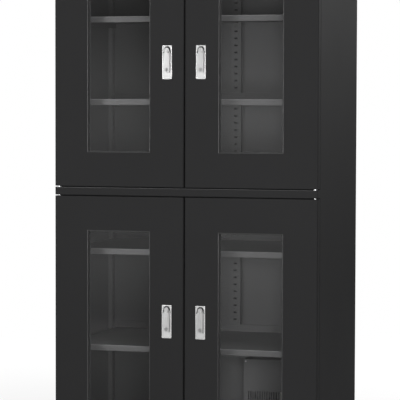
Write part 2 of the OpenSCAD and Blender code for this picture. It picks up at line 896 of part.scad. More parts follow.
// Key cylinder with its keyway
module lock_key_core() {
    front = -lever_back - lever_t - key_proud;
    color([0.55, 0.55, 0.55]) at_spindle() translate([0, 0, -key_drop]) difference() {
        y_rod(key_d, front, -lever_back);
        block([-keyway_w / 2, front - over, -keyway_h / 2],
            [keyway_w / 2, front + keyway_d, keyway_h / 2]);
    }
}

// Brake pedal that reaches over the wheel and down behind it
module brake_pedal() {
    bend_y = trail + wheel_z / 2;
    tip_y = bend_y + pedal_reach;
    translate([-pedal_w / 2, 0, 0]) rotate([90, 0, 90]) linear_extrude(pedal_w)
        polygon([[0, crown_z], [bend_y, crown_z], [tip_y, crown_z - pedal_drop],
            [tip_y, crown_z - pedal_drop + pedal_t], [bend_y, crown_z + pedal_t],
            [0, crown_z + pedal_t]]);
}

// Caster fork: stem, bearing cup, crown, cheeks and axle, and a brake pedal on the front ones
module caster_fork(along, across) {
    cheek_x = wheel_w / 2 + cheek_gap;
    color(silver) at_casters(along, across) {
        translate([0, 0, caster_h - seat_gap]) cylinder(d = stem_d, h = stem_l - seat_gap);
        translate([0, 0, crown_z]) cylinder(d = cup_d, h = caster_h - seat_gap - crown_z);
        translate([0, 0, crown_z]) cylinder(d = crown_d, h = crown_t);
        for (side = [-1, 1]) on_side(side) {
            translate([-cheek_x - cheek_t, 0, 0]) rotate([90, 0, 90]) linear_extrude(cheek_t)
                difference() {
                    union() {
                        polygon([[-crown_d / 4, crown_z + crown_t], [crown_d / 4, crown_z + crown_t],
                            [trail + cheek_r, wheel_z], [trail - cheek_r, wheel_z]]);
                        translate([trail, wheel_z]) circle(cheek_r);
                    }
                    translate([trail, wheel_z]) circle(axle_d / 2 - run_gap);
                }
            translate([0, trail, wheel_z])
                x_rod(axle_head_d, -cheek_x - cheek_t - axle_head_t, -cheek_x - cheek_t);
        }
        translate([0, trail, wheel_z]) x_rod(axle_d, -cheek_x - cheek_t, cheek_x + cheek_t);
        if (along < 0) brake_pedal();
    }
}

// Wheel with a rounded tread, a stepped hub and the axle's bore
module caster_wheel(along, across) {
    web_t = wheel_w * 2 / 3;
    rim_r = wheel_d / 2 - tyre_r - 2 * cheek_t;
    color([0.09, 0.09, 0.09]) at_casters(along, across) translate([0, trail, wheel_z])
        rotate([0, 90, 0]) rotate_extrude() {
            translate([rim_r, -wheel_w / 2 + tyre_r])
                square([wheel_d / 2 - rim_r, wheel_w - 2 * tyre_r]);
            translate([rim_r, -wheel_w / 2]) square([wheel_d / 2 - rim_r - tyre_r, wheel_w]);
            for (x = [-1, 1])
                translate([wheel_d / 2 - tyre_r, x * (wheel_w / 2 - tyre_r)]) circle(tyre_r);
            translate([axle_d / 2 + run_gap, -web_t / 2])
                square([rim_r - axle_d / 2 - run_gap + over, web_t]);
            translate([axle_d / 2 + run_gap, -wheel_w / 2 - cheek_gap + seat_gap])
                square([axle_d / 2, wheel_w + 2 * cheek_gap - 2 * seat_gap]);
        }
}

left_side_panel();
right_side_panel();
rear_panel();
roof_panel();
base_pan();
centre_mullion();
mid_rail();
header_panel();
display_module();
display_window();
button_up();
button_down();
shelf_uprights();
shelves();
shelf_clips();
dryer_housing();
dryer_core();
dryer_fan();
power_inlet();
hinge_pins();
at_door(-1, upper_z) door_skin();  // door_ul_skin
at_door(-1, upper_z) door_liner();  // door_ul_liner
at_door(-1, upper_z) door_glass();  // door_ul_glass
at_door(-1, upper_z) door_seals();  // door_ul_seals
at_door(1, upper_z) door_skin();  // door_ur_skin
at_door(1, upper_z) door_liner();  // door_ur_liner
at_door(1, upper_z) door_glass();  // door_ur_glass
at_door(1, upper_z) door_seals();  // door_ur_seals
at_door(-1, lower_z) door_skin();  // door_ll_skin
at_door(-1, lower_z) door_liner();  // door_ll_liner
at_door(-1, lower_z) door_glass();  // door_ll_glass
at_door(-1, lower_z) door_seals();  // door_ll_seals
at_door(1, lower_z) door_skin();  // door_lr_skin
at_door(1, lower_z) door_liner();  // door_lr_liner
at_door(1, lower_z) door_glass();  // door_lr_glass
at_door(1, lower_z) door_seals();  // door_lr_seals
at_door(-1, upper_z) lock_plate();  // lock_ul_plate
at_door(-1, upper_z) lock_spindle();  // lock_ul_spindle
at_door(-1, upper_z) lock_lever();  // lock_ul_lever
at_door(-1, upper_z) lock_key_core();  // lock_ul_key_core
at_door(1, upper_z) lock_plate();  // lock_ur_plate
at_door(1, upper_z) lock_spindle();  // lock_ur_spindle
at_door(1, upper_z) lock_lever();  // lock_ur_lever
at_door(1, upper_z) lock_key_core();  // lock_ur_key_core
at_door(-1, lower_z) lock_plate();  // lock_ll_plate
at_door(-1, lower_z) lock_spindle();  // lock_ll_spindle
at_door(-1, lower_z) lock_lever();  // lock_ll_lever
at_door(-1, lower_z) lock_key_core();  // lock_ll_key_core
at_door(1, lower_z) lock_plate();  // lock_lr_plate
at_door(1, lower_z) lock_spindle();  // lock_lr_spindle
at_door(1, lower_z) lock_lever();  // lock_lr_lever
at_door(1, lower_z) lock_key_core();  // lock_lr_key_core
caster_fork(-1, -1);  // caster_fork_fl
caster_fork(-1, 1);  // caster_fork_fr
caster_fork(1, -1);  // caster_fork_rl
caster_fork(1, 1);  // caster_fork_rr
caster_wheel(-1, -1);  // caster_wheel_fl
caster_wheel(-1, 1);  // caster_wheel_fr
caster_wheel(1, -1);  // caster_wheel_rl
caster_wheel(1, 1);  // caster_wheel_rr
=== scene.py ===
# %% [markdown]
# # A four-door dry cabinet
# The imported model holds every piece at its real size. This lesson gives the pieces their folded
# edges, paint, glass and metal, adds the small things that a drawing leaves out, and lights it all
# like a product photograph. All sizes are metres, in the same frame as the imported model: X runs
# across the doors, Y from the doors to the rear wall, Z up from the floor.

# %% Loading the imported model
import json
import math

import bmesh
import bpy
from mathutils import Euler, Matrix, Vector
from mathutils.geometry import area_tri

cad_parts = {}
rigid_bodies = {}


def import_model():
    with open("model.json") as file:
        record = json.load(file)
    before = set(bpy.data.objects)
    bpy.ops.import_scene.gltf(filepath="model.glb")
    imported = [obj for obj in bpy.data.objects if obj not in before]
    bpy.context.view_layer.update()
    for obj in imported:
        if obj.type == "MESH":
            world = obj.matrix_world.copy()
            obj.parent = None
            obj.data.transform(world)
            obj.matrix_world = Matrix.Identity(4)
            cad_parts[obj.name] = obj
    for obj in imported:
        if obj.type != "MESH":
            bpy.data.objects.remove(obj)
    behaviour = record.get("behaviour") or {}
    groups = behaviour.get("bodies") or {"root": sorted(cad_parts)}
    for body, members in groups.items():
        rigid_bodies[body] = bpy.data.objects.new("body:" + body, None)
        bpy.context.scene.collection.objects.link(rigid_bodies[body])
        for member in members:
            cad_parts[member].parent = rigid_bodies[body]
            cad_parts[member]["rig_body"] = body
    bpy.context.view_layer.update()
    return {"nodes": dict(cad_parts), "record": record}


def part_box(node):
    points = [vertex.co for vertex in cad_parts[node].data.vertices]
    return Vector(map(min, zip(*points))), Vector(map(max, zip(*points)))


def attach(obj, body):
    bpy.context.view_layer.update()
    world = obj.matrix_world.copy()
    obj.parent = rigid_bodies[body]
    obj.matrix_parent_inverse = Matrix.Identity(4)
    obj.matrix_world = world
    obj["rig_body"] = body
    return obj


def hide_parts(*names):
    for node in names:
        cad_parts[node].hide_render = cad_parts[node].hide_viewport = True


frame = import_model()
MM = 0.001
DOORS = ("ul", "ur", "ll", "lr")
CASTERS = ("fl", "fr", "rl", "rr")

# %% [markdown]
# ## Where the camera stands
# The photograph was taken from the right of the cabinet at chest height, with a long lens that
# keeps the doors nearly square. A lens angle, a place and three turns say all of that. The camera
# is made first, because every later choice is judged through it.

# %% Making the camera
FRAME_PX = 400
FOCAL_PX = 1964.9
SENSOR = 36.0
CAMERA_RIGHT, CAMERA_AWAY, CAMERA_UP = 1.8547, 6.1619, 1.2366
YAW, PITCH, ROLL = (math.radians(angle) for angle in (16.28, -2.731, 0.139))
SIGHT = 200
camera_data = bpy.data.cameras.new("camera")
camera_data.sensor_width = SENSOR
camera_data.lens = SENSOR * FOCAL_PX / FRAME_PX
camera_data.clip_end = SIGHT
camera = bpy.data.objects.new("camera", camera_data)
bpy.context.scene.collection.objects.link(camera)
camera_place = Vector((CAMERA_RIGHT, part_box("door_ul_skin")[0].y - CAMERA_AWAY, CAMERA_UP))
turn = Euler((math.pi / 2 + PITCH, 0, YAW)).to_matrix().to_4x4()
camera.matrix_world = Matrix.Translation(camera_place) @ turn @ Matrix.Rotation(ROLL, 4, "Z")
bpy.context.scene.camera = camera
print("lens", round(camera_data.lens, 1), "mm")

# %% [markdown]
# ## Writing node trees as sums
# Materials and geometry trees are both graphs of nodes, and maths on sockets reads best as maths.
# The small class Wire wraps a socket, so that `1 - mask * 0.5` adds the Math nodes by itself. The
# class Graph has one method for every other node, with its settings first and then its sockets,
# and two short ones for what is asked often: one part of a vector, and a fade from 0 to 1.

# %% A socket that can be added and multiplied
class Wire:
    def __init__(self, graph, socket):
        self.graph = graph
        self.socket = socket

    def maths(self, operation, a, b):
        return self.graph.node("ShaderNodeMath", {"operation": operation}, {0: a, 1: b})

    def __add__(self, other):
        return self.maths("ADD", self, other)

    def __sub__(self, other):
        return self.maths("SUBTRACT", self, other)

    def __mul__(self, other):
        return self.maths("MULTIPLY", self, other)

    def __rsub__(self, other):
        return self.maths("SUBTRACT", other, self)

    __radd__ = __add__
    __rmul__ = __mul__


class Graph:
    def __init__(self, tree):
        self.tree = tree
        self.tree.nodes.clear()

    def node(self, kind, settings=None, sockets=None, output=0):
        made = self.tree.nodes.new(kind)
        for key, value in (settings or {}).items():
            setattr(made, key, value)
        for key, value in (sockets or {}).items():
            for wire in (value if isinstance(value, list) else [value]):
                if isinstance(wire, Wire):
                    self.tree.links.new(wire.socket, made.inputs[key])
                else:
                    made.inputs[key].default_value = wire
        return Wire(self, made.outputs[output]) if len(made.outputs) else None

    def part(self, vector, axis):
        return self.node("ShaderNodeSeparateXYZ", {}, {0: vector}, output=axis)

    def fade(self, value, start, end, curve="SMOOTHSTEP"):
        return self.node("ShaderNodeMapRange", {"clamp": True, "interpolation_type": curve},
                         {"Value": value, "From Min": start, "From Max": end})


def grey(level):
    return (level, level, level, 1.0)

# %% [markdown]
# ## A finish is a graph with a few habits
# Every material here reads Object coordinates, so its grain stays with the piece when a door
# swings. Noise, a colour mix, a spread of shades and a bump are the words that they all use.

# %% The words of a finish
class Finish(Graph):
    def __init__(self, name):
        self.material = bpy.data.materials.new(name)
        self.material.use_nodes = True
        super().__init__(self.material.node_tree)

    def place(self, stretch=(1, 1, 1), centre=(0, 0, 0)):
        spot = self.node("ShaderNodeTexCoord", output=3)
        shift = tuple(-c * s for c, s in zip(centre, stretch))
        return self.node("ShaderNodeMapping", {},
                         {"Vector": spot, "Scale": stretch, "Location": shift})

    def noise(self, scale, detail=3.0, stretch=(1, 1, 1)):
        return self.node("ShaderNodeTexNoise", {},
                         {"Vector": self.place(stretch), "Scale": scale, "Detail": detail})

    def blend(self, factor, a, b):
        return self.node("ShaderNodeMix", {"data_type": "RGBA"}, {0: factor, 6: a, 7: b}, output=2)

    def shades(self, factor, colour, spread):
        low, high = ((*(c * (1 + s) for c in colour), 1.0) for s in (-spread, spread))
        return self.blend(factor, low, high)

    def bump(self, height, distance):
        return self.node("ShaderNodeBump", {},
                         {"Height": height, "Distance": distance, "Strength": 1.0})

    def surface(self, **sockets):
        named = {key.replace("_", " "): value for key, value in sockets.items()}
        return self.close(self.node("ShaderNodeBsdfPrincipled", {}, named))

    def close(self, shader):
        self.node("ShaderNodeOutputMaterial", {}, {"Surface": shader})
        return self.material

# %% [markdown]
# ## Powder coat
# The sheet metal is powder coated: a baked paint with a fine orange-peel skin and a silky, uneven
# gloss. Fine noise lifts the surface by hundredths of a millimetre, and slow clouds shift the tone
# and the roughness, so that no large face looks like plastic film. The outside is nearly black.
# The inside and the shelves show lighter, so they get greyer coats; the inside's lighter grey is
# partly painted light, brightening an interior that the lamps reach only through the windows. Folds
# that face up and to the front get a lighter, glossier coat of their own: its extra gloss is a
# real sheen, and its lighter tone is a painted highlight.
# The wall behind the centre upright lies in the shade of a closed channel, so it fades to dark
# there, and the upright's slots read as dark holes.

# %% Making the paints
CLOUDS, PEEL, GRAINS = 2.5, 900.0, 3200.0
BROAD, FINE = 0.7, 0.3
MOTTLE, COOL = 0.16, 1.02
SKIN = 0.04 * MM
CHANNEL_X = 17 * MM
SHADE_HALF, SHADE_FADE = 14 * MM, 3 * MM
SHADE_FOOT = 430 * MM
SHADE_LEVEL = 0.03


def powder_coat(name, level, gloss_level, roughness, shaded_x=None):
    paint = Finish(name)
    clouds = paint.noise(CLOUDS, 3.0)
    peel = paint.noise(PEEL, 2.0)
    grains = paint.noise(GRAINS, 1.0)
    tone = paint.shades(clouds * BROAD + grains * FINE, (level, level, level * COOL), MOTTLE)
    if shaded_x is not None:
        spot = paint.place(centre=(shaded_x, 0, SHADE_FOOT))
        across = paint.part(spot, 0)
        behind = paint.fade(across.maths("ABSOLUTE", across, 0.0), SHADE_HALF + SHADE_FADE,
                            SHADE_HALF, "LINEAR")
        above = paint.fade(paint.part(spot, 2), 0.0, SHADE_FADE, "LINEAR")
        tone = paint.blend(behind * above, tone, grey(SHADE_LEVEL))
    return paint.surface(Base_Color=tone, Roughness=(clouds - 0.5) * MOTTLE + roughness,
                         Specular_IOR_Level=gloss_level,
                         Normal=paint.bump(peel * BROAD + grains * FINE, SKIN))


BODY_PAINT = powder_coat("body_paint", 0.0205, 0.03, 0.6)
# The fold coat is glossier and a little lighter than the body's; its lighter tone is a painted
# highlight.
BODY_FOLD_HIGHLIGHT = powder_coat("body_fold", 0.03, 0.9, 0.35)
# The inside coats are lighter than the outside's, partly as painted light for an interior the lamps
# reach only through the windows.
INNER_PAINT = powder_coat("inner_paint", 0.145, 0.1, 0.6)
REAR_PAINT = powder_coat("rear_inner_paint", 0.145, 0.1, 0.6, shaded_x=CHANNEL_X)
SHELF_PAINT = powder_coat("shelf_paint", 0.11, 0.33, 0.36)
# The lip's fold coat is more than twice as light as the shelf's coat: a painted highlight.
SHELF_FOLD_HIGHLIGHT = powder_coat("shelf_fold", 0.26, 0.5, 0.35)
print("paints", BODY_PAINT.name, INNER_PAINT.name, SHELF_PAINT.name)

# %% [markdown]
# ## Metals
# The lock is plated zinc, polished and then brushed lightly down its length, so its grain is noise
# stretched along Z. Galvanised steel shows crystals of zinc instead, which a Voronoi texture gives.
# In all the finishes below, a name that ends in TONE or ROUGH says how far the grain shifts the
# tone or the roughness, and one that ends in MATT how rough the finish is to begin with.

# %% Making the metals
LINES, HAZE, CRYSTALS, PITS = 420.0, 55.0, 170.0, 700.0
DRAWN = (1, 1, 0.03)
LINE_SHARE, HAZE_SHARE = 0.6, 0.4
LINE_TONE, LINE_ROUGH, LINE_DEPTH = 0.06, 0.14, 0.004 * MM
FLAKE_TONE, FLAKE_ROUGH, PIT_DEPTH = 0.12, 0.14, 0.01 * MM
ZINC_COOL, ZINC_MATT = 1.03, 0.3


def brushed(name, level, roughness):
    plate = Finish(name)
    lines = plate.noise(LINES, 3.0, DRAWN)
    haze = plate.noise(HAZE)
    tone = plate.shades(lines * LINE_SHARE + haze * HAZE_SHARE, (level,) * 3, LINE_TONE)
    return plate.surface(Base_Color=tone, Metallic=1.0,
                         Roughness=(lines - 0.5) * LINE_ROUGH + roughness,
                         Normal=plate.bump(lines, LINE_DEPTH))


def zinc_plate(name, level):
    plate = Finish(name)
    crystals = plate.node("ShaderNodeTexVoronoi", {},
                          {"Vector": plate.place(), "Scale": CRYSTALS}, output=1)
    flake = plate.node("ShaderNodeSeparateColor", {}, {0: crystals})
    tone = plate.shades(flake, (level, level, level * ZINC_COOL), FLAKE_TONE)
    return plate.surface(Base_Color=tone, Metallic=1.0,
                         Roughness=flake * FLAKE_ROUGH + ZINC_MATT,
                         Normal=plate.bump(plate.noise(PITS), PIT_DEPTH))


PLATE_METAL = brushed("plate_metal", 0.5, 0.24)
# The field is rougher than the rim, and its darker tone is painted shade in the recess.
FIELD_SHADED_METAL = brushed("plate_field_metal", 0.35, 0.42)
LEVER_METAL = brushed("lever_metal", 0.32, 0.3)
# The groove's coat is near-black: a painted shade deep in the finger groove.
GROOVE_SHADE = brushed("groove_metal", 0.03, 0.6)
KEY_METAL = brushed("key_metal", 0.2, 0.4)
ZINC = zinc_plate("zinc_plate", 0.56)
print("metals", PLATE_METAL.name, LEVER_METAL.name, KEY_METAL.name, ZINC.name)

# %% [markdown]
# ## Glass, rubber and plastics
# The panes are clear, with a faint sheen. A little opacity with a dark base stands for the light
# that real glass loses, and light still falls through it onto the shelves. Rubber is dull and
# dusty. Moulded plastic has the fine spark-eroded grain of its mould.

# %% Making the glass, the rubber and the plastics
DUST, MOULD_CLOUDS, SMEARS = 60.0, 24.0, 9.0
SPARKS, RUBBER_SPARKS = 1800.0, 2500.0
SPARK_DEPTH = 0.03 * MM
DUST_TONE, DUST_ROUGH = 0.2, 0.2
RUBBER_MATT, RUBBER_SHEEN = 0.72, 0.3
CLOUD_TONE, CLOUD_ROUGH = 0.08, 0.1
SMEAR_ROUGH, PANE_MATT = 0.05, 0.02


def rubber(name, level):
    skin = Finish(name)
    dust = skin.noise(DUST)
    return skin.surface(Base_Color=skin.shades(dust, (level,) * 3, DUST_TONE),
                        Roughness=(dust - 0.5) * DUST_ROUGH + RUBBER_MATT,
                        Specular_IOR_Level=RUBBER_SHEEN,
                        Normal=skin.bump(skin.noise(RUBBER_SPARKS), SPARK_DEPTH))


def plastic(name, colour, roughness):
    skin = Finish(name)
    clouds = skin.noise(MOULD_CLOUDS)
    return skin.surface(Base_Color=skin.shades(clouds, colour, CLOUD_TONE),
                        Roughness=(clouds - 0.5) * CLOUD_ROUGH + roughness,
                        Normal=skin.bump(skin.noise(SPARKS), SPARK_DEPTH))


def pane(name, level, alpha, ior, sheen):
    glass = Finish(name)
    smears = glass.noise(SMEARS, 4.0)
    return glass.surface(Base_Color=grey(level), Roughness=smears * SMEAR_ROUGH + PANE_MATT,
                         IOR=ior, Alpha=alpha, Specular_IOR_Level=sheen)


GLASS = pane("window_glass", 0.02, 0.14, 1.8, 0.5)
LENS = pane("display_lens", 0.006, 0.55, 1.5, 0.1)
GASKET = rubber("gasket_rubber", 0.03)
SEAL = rubber("seal_rubber", 0.014)
TYRE = rubber("tyre_rubber", 0.02)
BLACK_PLASTIC = plastic("black_plastic", (0.018, 0.018, 0.019), 0.5)
HUB_PLASTIC = plastic("hub_plastic", (0.11, 0.11, 0.115), 0.45)
CARTRIDGE = plastic("cartridge_plastic", (0.62, 0.61, 0.57), 0.5)
BOARD = plastic("circuit_board", (0.015, 0.09, 0.03), 0.35)
BUTTON = brushed("button_metal", 0.6, 0.28)
print("clear and soft finishes", GLASS.name, LENS.name, GASKET.name, TYRE.name)

# %% [markdown]
# ## Folded edges
# Sheet metal has no sharp edge: a fold leaves a radius about as large as the sheet is thick. Each
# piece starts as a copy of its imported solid, whose loose triangles are joined into clean faces. A
# weighted Bevel modifier, run at once, then rounds its edges: widely where both faces beside an
# edge are broad, and narrowly on the rims of the sheet. Weighted normals keep the broad faces
# looking flat. Faces and edges are gathered in dictionaries, which keep their order where sets
# don't, so the mesh comes out the same each time.

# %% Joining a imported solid's triangles
WELD = 1e-6
FLAT_ANGLE = math.radians(0.2)
HARD_ANGLE = math.radians(40)
UPRIGHT = 0.7
LEVEL_DIGITS = 5


def new_piece(name, mesh):
    piece = bpy.data.objects.new(name, mesh)
    bpy.context.scene.collection.objects.link(piece)
    return piece


def mesh_from(name, bm, *finishes):
    mesh = bpy.data.meshes.new(name)
    bm.to_mesh(mesh)
    bm.free()
    for finish in finishes:
        mesh.materials.append(finish)
    return mesh


def spread(starts, reach):
    """All that can be reached from some starts, one step after another."""
    found, queue = dict.fromkeys(starts), list(starts)
    while queue:
        for step in reach(queue.pop()):
            if step not in found:
                found[step] = True
                queue.append(step)
    return found


def without(parts, taken):
    return dict.fromkeys(part for part in parts if part not in taken)


def is_flat(edge):
    return len(edge.link_faces) == 2 and edge.calc_face_angle() < 2 * FLAT_ANGLE


def cut_at_holes(bm):
    """Splits a pierced face level with its holes, so that every cut meets a fold squarely."""
    waiting = dict.fromkeys(face for edge in bm.edges if is_flat(edge) for face in edge.link_faces)
    while waiting:
        region = spread([next(iter(waiting))], lambda face: [
            other for edge in face.edges if is_flat(edge) for other in edge.link_faces])
        waiting = without(waiting, region)
        normal = next(iter(region)).normal
        axis = 2 if abs(normal.z) < UPRIGHT else 0
        rims = dict.fromkeys(edge for face in region for edge in face.edges if not is_flat(edge))
        loops = []
        while rims:
            loop = spread([next(iter(rims))], lambda edge: [
                other for v in edge.verts for other in v.link_edges if other in rims])
            rims = without(rims, loop)
            spots = [v.co[axis] for edge in loop for v in edge.verts]
            loops.append((max(spots) - min(spots), (max(spots) + min(spots)) / 2))
        levels = {round(middle, LEVEL_DIGITS) for size, middle in sorted(loops)[:-1]}
        for level in sorted(levels):
            spot, square = Vector(), Vector()
            spot[axis], square[axis] = level, 1
            parts = dict.fromkeys(part for face in region
                                  for part in (face, *face.edges, *face.verts))
            made = bmesh.ops.bisect_plane(bm, geom=list(parts), dist=WELD, plane_co=spot,
                                          plane_no=square)
            region = [part for part in made["geom"] if isinstance(part, bmesh.types.BMFace)]
            for part in made["geom_cut"]:
                if isinstance(part, bmesh.types.BMEdge):
                    part.seam = True
        if levels:
            spare = dict.fromkeys(edge for face in region for edge in face.edges
                                  if is_flat(edge) and not edge.seam)
            bmesh.ops.dissolve_edges(bm, edges=list(spare), use_verts=False)


def joined_solid(node, wanted=None):
    """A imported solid, or those of its lumps that are wanted, with whole faces."""
    source = bmesh.new()
    source.from_mesh(frame["nodes"][node].data)
    bmesh.ops.remove_doubles(source, verts=source.verts, dist=WELD)
    bmesh.ops.dissolve_limit(source, angle_limit=FLAT_ANGLE, verts=source.verts,
                             edges=source.edges)
    if wanted:
        spare = [v for v in source.verts if not wanted(v.co)]
        bmesh.ops.delete(source, geom=spare, context="VERTS")
    bm = bmesh.new()
    corners = {v: bm.verts.new(v.co) for v in source.verts}
    for face in source.faces:
        bm.faces.new([corners[v] for v in face.verts])
    source.free()
    bm.normal_update()
    cut_at_holes(bm)
    return bm

# %% Rounding edges by the room beside them
PARALLEL = 0.99
GENTLE, STRAIGHT = 0.8, 0.9999
COVER_SLACK, SPECK = 1.001, 1e-8
TURN_BACK = -0.3
UNTWIST_ROUNDS = 8
ROOM_SHARE, MERGE_SHARE, FOLD_SHARE = 2.2, 0.2, 0.3
FOLD_STEPS, RIM_STEPS = 3, 2


def room_beside(face, edge):
    """How far the nearest parallel side of a face lies from one of its edges."""
    start, end = (v.co for v in edge.verts)
    along = (end - start).normalized()
    middle = (start + end) / 2
    half = (end - start).length / 2
    nearest = math.inf
    for other in face.edges:
        c, d = (v.co - middle for v in other.verts)
        if other == edge or abs((d - c).normalized().dot(along)) < PARALLEL:
            continue
        reach = sorted((c.dot(along), d.dot(along)))
        gap = (c - along * c.dot(along)).length
        if gap > WELD and reach[0] < half and reach[1] > -half:
            nearest = min(nearest, gap)
    return nearest


def bends_on(edge, others):
    """The edges that carry on round a curve from this one."""
    start, end = (v.co for v in edge.verts)
    along = (end - start).normalized()
    found = []
    for v in edge.verts:
        for other in v.link_edges:
            if other is not edge and other in others:
                c, d = (w.co for w in other.verts)
                if GENTLE < abs((d - c).normalized().dot(along)) < STRAIGHT:
                    found.append(other)
    return found


def twisted_faces(bm):
    """Faces whose triangles cover more than the face does, because its outline turns back."""
    covered = {}
    for corners in bm.calc_loop_triangles():
        size = area_tri(*(corner.vert.co for corner in corners))
        face = corners[0].face
        covered[face] = covered.get(face, 0) + size
    return [face for face, size in covered.items()
            if size > COVER_SLACK * face.calc_area() + SPECK]


def untwist(bm, step):
    """Merges the corners where rounding made a face's outline run back over itself."""
    for _ in range(UNTWIST_ROUNDS):
        merges = {}
        for face in twisted_faces(bm):
            for corner in face.loops:
                before = corner.link_loop_prev.vert
                after = corner.link_loop_next.vert
                arrive, leave = corner.vert.co - before.co, after.co - corner.vert.co
                target = before if arrive.length < leave.length else after
                short = min(arrive.length, leave.length)
                if 0 < short < step and target not in merges and (
                        arrive.normalized().dot(leave.normalized()) < TURN_BACK):
                    merges[corner.vert] = target
        merges = {vert: target for vert, target in merges.items() if target not in merges}
        if not merges:
            return
        bmesh.ops.weld_verts(bm, targetmap=merges)


def rounded(bm, wide, narrow):
    """Rounds the hard edges, and marks the faces of the wide folds with material 1."""
    lo, hi = (Vector([pick(v.co[i] for v in bm.verts) for i in range(3)]) for pick in (min, max))
    weight = bm.edges.layers.float.new("bevel_weight_edge")
    hard = {e for e in bm.edges if len(e.link_faces) == 2 and e.calc_face_angle() > HARD_ANGLE}
    broad = {e for e in hard if wide and e.is_convex
             and min(room_beside(face, e) for face in e.link_faces) > ROOM_SHARE * wide}
    starts = [e for e in broad if bends_on(e, hard - broad)]
    broad.difference_update(spread(starts, lambda e: bends_on(e, broad)))
    for edge in hard:
        edge[weight] = 1.0 if edge in broad else narrow / (wide or narrow)
    draft = new_piece("draft", mesh_from("draft", bm, None, None))
    bend = draft.modifiers.new("bend", "BEVEL")
    bend.limit_method = "WEIGHT"
    bend.width = wide or narrow
    bend.segments = FOLD_STEPS if wide else RIM_STEPS
    bend.use_clamp_overlap = False
    bend.loop_slide = False
    bend.material = 1
    bm = bmesh.new()
    bm.from_mesh(draft.evaluated_get(bpy.context.evaluated_depsgraph_get()).to_mesh())
    bpy.data.objects.remove(draft)
    for vert in bm.verts:
        vert.co = [min(max(v, a), b) for v, a, b in zip(vert.co, lo, hi)]
    bmesh.ops.remove_doubles(bm, verts=bm.verts, dist=MERGE_SHARE * narrow)
    untwist(bm, narrow if wide else 2 * narrow)
    for face in bm.faces:
        longest = max(e.calc_length() for e in face.edges)
        whole = face.calc_area() > FOLD_SHARE * wide * longest
        face.material_index = int(bool(wide) and face.material_index == 1 and whole)
    return bm

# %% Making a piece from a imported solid
def settle(piece, body, slot, *nodes):
    """Ties a piece to its body and hides the imported nodes that it stands for."""
    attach(piece, body)
    if nodes:
        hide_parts(*nodes)


def body_of(node):
    return frame["nodes"][node]["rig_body"]


SLOTS = {part["node"]: part["material_slot"] for part in frame["record"]["subparts"]}


def dressed(node, wide, narrow, finishes, choose=None, wanted=None, name=None, bm=None):
    """Adds a rounded copy of a node. choose(middle, direction, fold) gives a face's finish."""
    bm = bm or joined_solid(node, wanted)
    if wide or narrow:
        bm = rounded(bm, wide, narrow)
    for face in bm.faces:
        fold = bool(face.material_index)
        face.material_index = choose(face.calc_center_median(), face.normal, fold) if choose else 0
    mesh = mesh_from(name or node + "_finish", bm, *finishes)
    piece = new_piece(mesh.name, mesh)
    if wide or narrow:
        mesh.shade_smooth()
        flats = piece.modifiers.new("flats", "WEIGHTED_NORMAL")
        flats.mode = "FACE_AREA"
    settle(piece, body_of(node), SLOTS[node], node)

# %% [markdown]
# ## The body
# Side panels, rear wall, roof, base, centre post and cross band are folded sheets. Their outside is
# black and their inside is the lighter coat, which is partly painted light. A face counts as inside
# when its middle lies nearly a sheet's thickness within the body's box. Folds that look up and to
# the front get the lighter, glossier fold coat, whose lighter tone is a painted highlight.

# %% Dressing the body's sheets
FOLD = 1.5 * MM
RIM, SOFT_RIM, FINE_RIM = 0.5 * MM, 0.4 * MM, 0.3 * MM
SHEET = 1.5 * MM
INSIDE = 0.9 * SHEET
UPWARD, FRONTWARD = 0.25, 0.2
body_lo, body_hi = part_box("roof_panel")
body_lo.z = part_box("rear_panel")[0].z
inner_lo = body_lo + Vector((1, 1, 1)) * INSIDE
inner_hi = body_hi - Vector((1, 1, 1)) * INSIDE


def catches_light(direction):
    return direction.z > UPWARD and direction.y < -FRONTWARD


def sheet_side(middle, direction, fold):
    if all(inner_lo[i] < middle[i] < inner_hi[i] for i in range(3)):
        return 1
    return 2 if fold and catches_light(direction) else 0


for node in ("left_side_panel", "right_side_panel", "rear_panel", "roof_panel", "base_pan",
             "centre_mullion", "mid_rail", "header_panel"):
    inner = REAR_PAINT if node == "rear_panel" else INNER_PAINT
    dressed(node, FOLD, RIM, (BODY_PAINT, inner, BODY_FOLD_HIGHLIGHT), sheet_side)
print("body inside", [round(x, 3) for x in (*inner_lo, *inner_hi)])

# %% [markdown]
# ## The doors
# A door is an outer sheet folded round its edges, a lighter inner sheet, a glass pane in a rubber
# channel, and a magnetic seal. The pane stays flat and unrounded, because a bend in its shading
# would bend what it reflects. The outer sheet's folds round each window that face the front, and
# its folds that face up and to the front, get the lighter fold coat: a painted highlight that draws
# the thin pale line framing each window.

# %% Dressing the doors
WINDOW_REACH = (125 * MM, 0, 310 * MM)


def round_window(door):
    """A test for whether a spot lies on a door's window or its frame."""
    lo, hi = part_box(f"door_{door}_glass")
    middle = (lo + hi) / 2
    return lambda spot: all(abs(spot[i] - middle[i]) < WINDOW_REACH[i] for i in (0, 2))


for door in DOORS:
    near_window = round_window(door)

    # Front-facing folds round the window and upward front folds get the lighter fold coat: a
    # painted highlight.
    def skin_side(middle, direction, fold):
        return int(fold and (catches_light(direction)
                             or direction.y < -FRONTWARD and near_window(middle)))

    dressed(f"door_{door}_skin", FOLD, RIM, (BODY_PAINT, BODY_FOLD_HIGHLIGHT), skin_side)
    dressed(f"door_{door}_liner", FOLD, RIM, (INNER_PAINT,))
    dressed(f"door_{door}_glass", 0, 0, (GLASS,))
    dressed(f"door_{door}_seals", 0, SOFT_RIM, (GASKET,), wanted=near_window,
            name=f"door_{door}_gasket")
print("doors dressed", len(DOORS))

# %% [markdown]
# ## Sweeping the magnetic seal
# The seal is one extruded strip with a bellows and a magnet pocket, bent round the door. Anything
# that follows a path is a job for Geometry Nodes: the tree takes the strip's cross-section as a
# closed line, carries it round a rectangle, and stands the ring up at its place. The modifier is
# run once and its result kept as a plain mesh.

